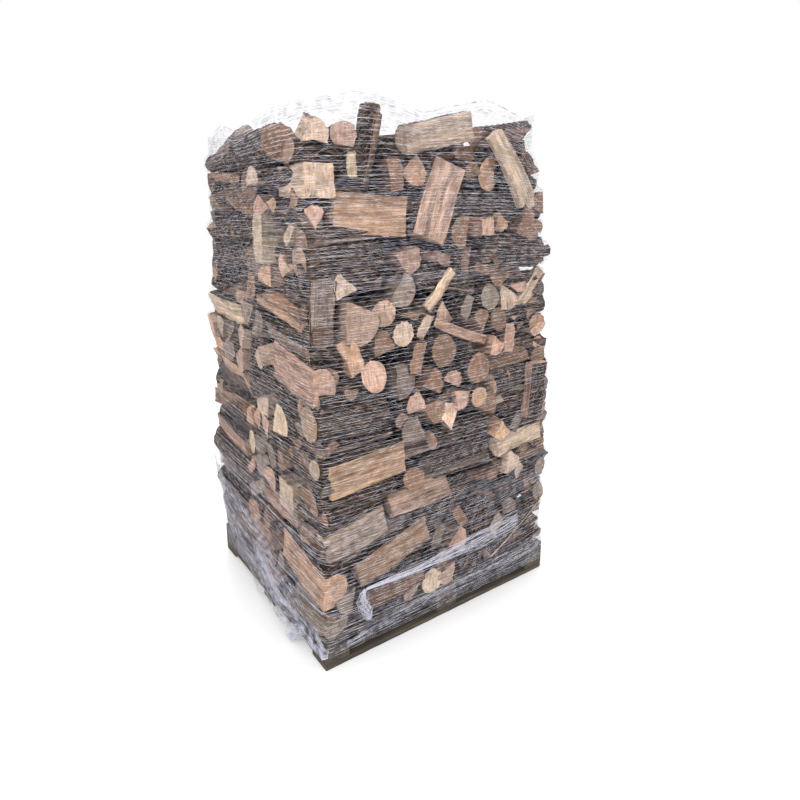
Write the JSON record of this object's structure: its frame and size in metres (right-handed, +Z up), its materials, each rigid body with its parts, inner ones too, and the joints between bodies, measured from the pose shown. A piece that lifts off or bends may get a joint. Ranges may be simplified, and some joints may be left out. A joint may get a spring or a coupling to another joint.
{
  "type": "firewood bundle",
  "caption": "Tower of split logs and round branches stacked on a timber pallet and wound round with knitted pallet net, a full pallet of fuel wood.",
  "frame": {"origin": "on the floor under the middle of the pallet, at the underside of its middle bottom board", "axes": "+Z up; +X along the front face, to the right as it is looked at; +Y from the front face to the back"},
  "size_m": [1.1518, 1.0063, 1.8361],
  "materials": {
    "bark": "rough dark bark on the long side, sawn ends",
    "brown_wood": "split brown heartwood with bark on one side",
    "orange_wood": "split orange-tan wood",
    "pink_wood": "split pinkish wood",
    "cream_wood": "split or sawn cream wood",
    "grey_wood": "grey weathered wood and bark",
    "pallet_wood": "dark weathered softwood boards",
    "net": "knitted white polyethylene net"
  },
  "bodies": {
    "root": {"pallet_bottom_board_front": "pallet_wood", "pallet_bottom_board_middle": "pallet_wood", "pallet_bottom_board_back": "pallet_wood", "pallet_stringer_left": "pallet_wood", "pallet_stringer_middle": "pallet_wood", "pallet_stringer_right": "pallet_wood", "pallet_deck_board_1": "pallet_wood", "pallet_deck_board_2": "pallet_wood", "pallet_deck_board_3": "pallet_wood", "pallet_deck_board_4": "pallet_wood", "pallet_deck_board_5": "pallet_wood", "big_split_log": "orange_wood", "cream_block": "cream_wood", "triangle_end_log": "pink_wood", "leaning_slab": "pink_wood", "golden_top_slab": "cream_wood", "diagonal_slab": "cream_wood", "top_right_log": "pink_wood", "right_bark_stub": "grey_wood", "right_small_end": "cream_wood", "right_dark_log": "bark", "pink_block_end": "pink_wood", "long_dark_branch": "bark", "steep_bark_log": "brown_wood", "pointed_log": "cream_wood", "cream_upright_end": "cream_wood", "front_bark_log": "bark", "pink_wedge_face": "pink_wood", "upright_bark_piece": "grey_wood", "pink_triangle_end": "pink_wood", "cream_round_end": "cream_wood", "pink_stick": "pink_wood", "pale_stick": "cream_wood", "large_brown_end": "brown_wood", "oval_end": "pink_wood", "orange_round_end": "orange_wood", "blunt_log": "brown_wood", "poking_slat": "cream_wood", "hanging_slab": "pink_wood", "pink_wedge_end": "pink_wood", "long_bark_log": "bark", "long_split_plank": "orange_wood", "pink_round_log": "pink_wood", "cream_ended_branch": "grey_wood", "pale_right_block": "cream_wood", "splintered_log": "cream_wood", "low_orange_plank": "orange_wood", "low_brown_block": "brown_wood", "brown_top_log": "brown_wood", "cream_slab_end": "cream_wood", "tall_cream_end": "cream_wood", "pale_standing_slab": "cream_wood", "red_corner_log": "pink_wood", "cream_wedge_end": "cream_wood", "bright_square_end": "cream_wood", "corner_orange_log": "orange_wood", "left_dark_branch": "bark", "heap_of_logs": "brown_wood", "net": "net"}
  },
  "joints": []
}
